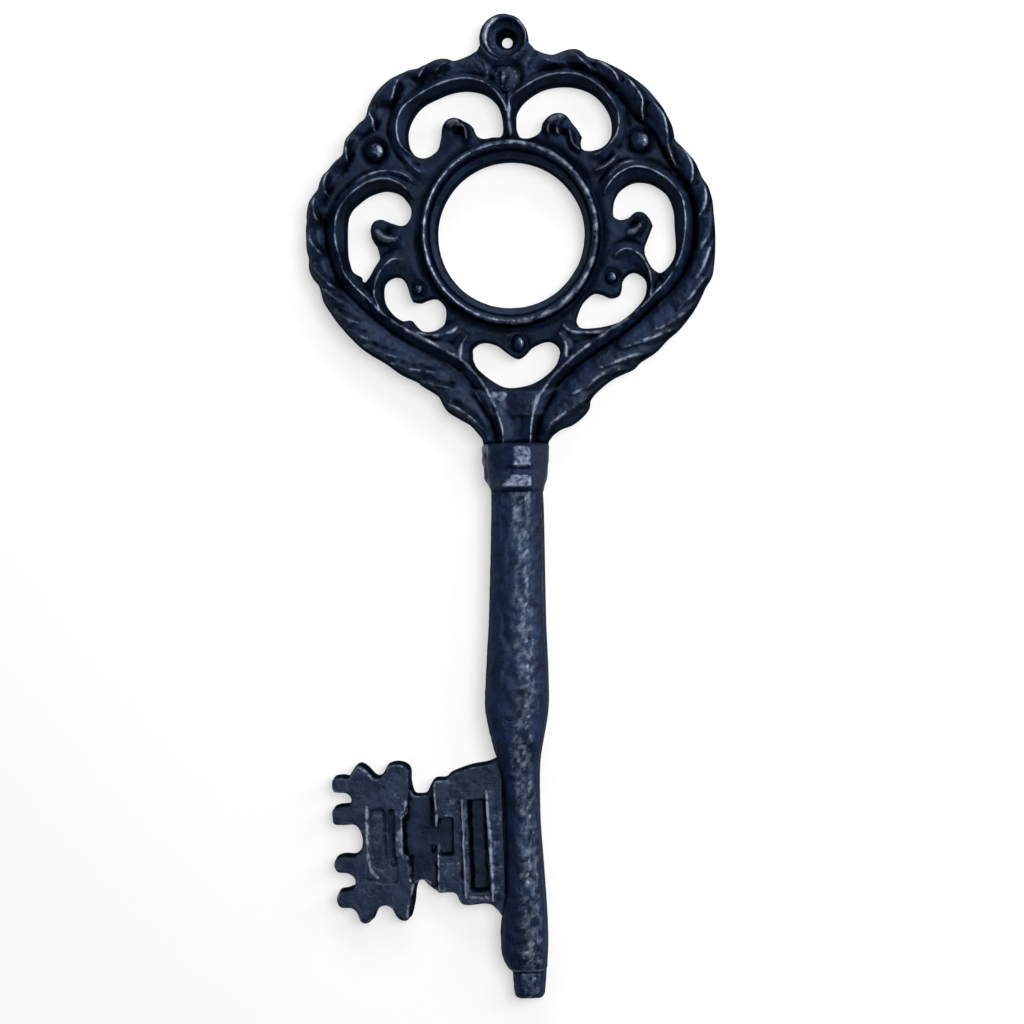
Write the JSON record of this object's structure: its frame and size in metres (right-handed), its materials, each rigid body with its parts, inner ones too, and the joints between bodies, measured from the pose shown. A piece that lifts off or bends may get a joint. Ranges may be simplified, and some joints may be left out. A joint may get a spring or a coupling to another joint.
{
  "type": "decorative skeleton key",
  "caption": "Wall-hung ornamental skeleton key in black iron: openwork bow with rope border and ring, collar, swelling shank, toothed bit and hanging eye.",
  "frame": {"origin": "bottom centre of the bounding box: on the flat back, midway along the key, under the shank", "axes": "+Y along the key towards the hanging eye (up when it hangs), +X to the right seen from the face, +Z out of the ornate face; the bit points to -X"},
  "size_m": [0.1044, 0.25, 0.0124],
  "materials": {
    "blackened_iron": "satin black over sand-cast iron, fine pitted grain, bluish sheen",
    "rubbed_iron": "the same black on the raised parts, rubbed to a grey metallic gleam along the edges"
  },
  "bodies": {
    "root": {"bow_plate": "blackened_iron", "centre_post": "blackened_iron", "neck_panel": "blackened_iron", "shank_swell": "blackened_iron", "shank_stem": "blackened_iron", "tip_pin": "blackened_iron", "bit_plate": "blackened_iron", "upper_moulding_left": "blackened_iron", "strap_moulding_left": "blackened_iron", "brow_moulding_left": "blackened_iron", "lobe_moulding_left": "blackened_iron", "sill_moulding_left": "blackened_iron", "heart_moulding_left": "blackened_iron", "upper_moulding_right": "blackened_iron", "strap_moulding_right": "blackened_iron", "brow_moulding_right": "blackened_iron", "lobe_moulding_right": "blackened_iron", "sill_moulding_right": "blackened_iron", "heart_moulding_right": "blackened_iron", "centre_ring": "rubbed_iron", "hanging_eye": "rubbed_iron", "collar_band": "rubbed_iron", "collar_foot": "rubbed_iron", "top_bead": "rubbed_iron", "heart_bead": "rubbed_iron", "outer_ward": "rubbed_iron", "inner_ward": "rubbed_iron", "ward_panel": "rubbed_iron", "rope_border_left": "rubbed_iron", "upper_curl_left": "rubbed_iron", "side_curl_left": "rubbed_iron", "upper_bead_left": "rubbed_iron", "lower_bead_left": "rubbed_iron", "rope_border_right": "rubbed_iron", "upper_curl_right": "rubbed_iron", "side_curl_right": "rubbed_iron", "upper_bead_right": "rubbed_iron", "lower_bead_right": "rubbed_iron"}
  },
  "joints": []
}
